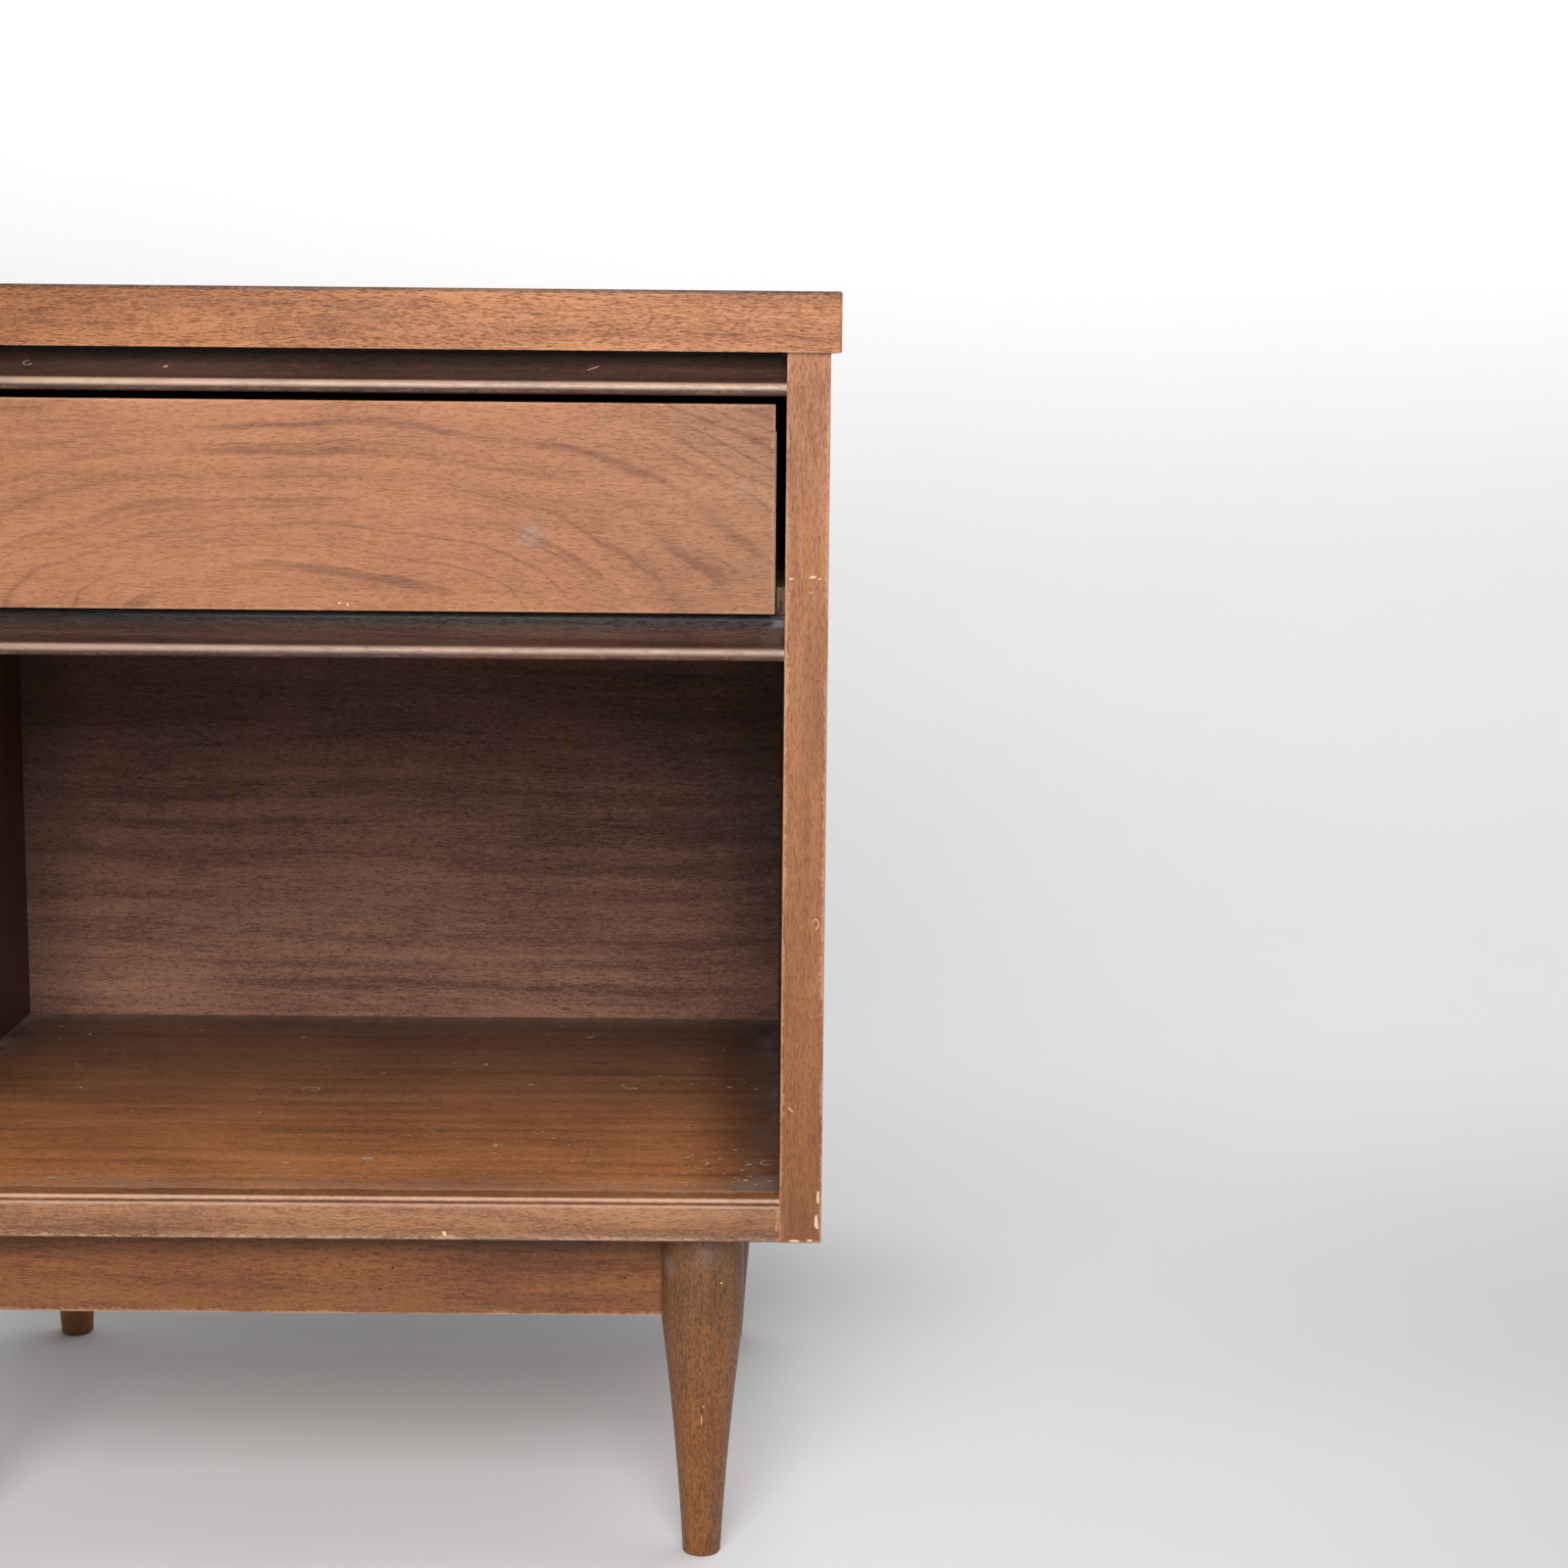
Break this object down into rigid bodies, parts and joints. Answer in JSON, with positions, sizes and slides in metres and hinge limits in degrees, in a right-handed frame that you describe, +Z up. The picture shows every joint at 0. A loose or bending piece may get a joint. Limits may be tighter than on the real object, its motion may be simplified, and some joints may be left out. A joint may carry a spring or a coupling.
{
  "type": "nightstand",
  "caption": "Mid-century walnut nightstand: flush drawer between cove-moulded rails, open shelf compartment, recessed aprons and round tapered legs.",
  "frame": {"origin": "on the floor, under the middle of the case's outline", "axes": "+Z up, front faces -Y, +X to the right seen from the front"},
  "size_m": [0.475, 0.368, 0.5835],
  "materials": {
    "walnut": "satin lacquer over walnut",
    "panel_wood": "dull lacquer over walnut-faced board",
    "pale_wood": "bare hardwood",
    "steel": "plain"
  },
  "bodies": {
    "case": {"apron_front": "walnut", "apron_left": "walnut", "apron_rear": "walnut", "apron_right": "walnut", "back_nails": "steel", "back_panel": "panel_wood", "bottom_shelf": "walnut", "centre_guide": "pale_wood", "corner_block_front_left": "pale_wood", "corner_block_front_right": "pale_wood", "corner_block_rear_left": "pale_wood", "corner_block_rear_right": "pale_wood", "divider_panel": "panel_wood", "drawer_guide_left": "pale_wood", "drawer_guide_right": "pale_wood", "drawer_stop_left": "pale_wood", "drawer_stop_right": "pale_wood", "leg_front_left": "walnut", "leg_front_right": "walnut", "leg_rear_left": "walnut", "leg_rear_right": "walnut", "lower_rail": "walnut", "rear_top_rail": "pale_wood", "shelf_front_rail": "walnut", "side_panel_left": "walnut", "side_panel_right": "walnut", "top_cleat_left": "pale_wood", "top_cleat_right": "pale_wood", "top_panel": "walnut", "top_screws": "steel", "upper_rail": "walnut"},
    "drawer": {"drawer_back": "pale_wood", "drawer_bottom": "pale_wood", "drawer_front": "walnut", "drawer_runner": "pale_wood", "drawer_side_left": "pale_wood", "drawer_side_right": "pale_wood"}
  },
  "joints": [
    {"name": "drawer_slide", "type": "slide", "parent": "case", "child": "drawer", "axis": [0, -1, 0], "range_m": [0, 0.25]}
  ]
}
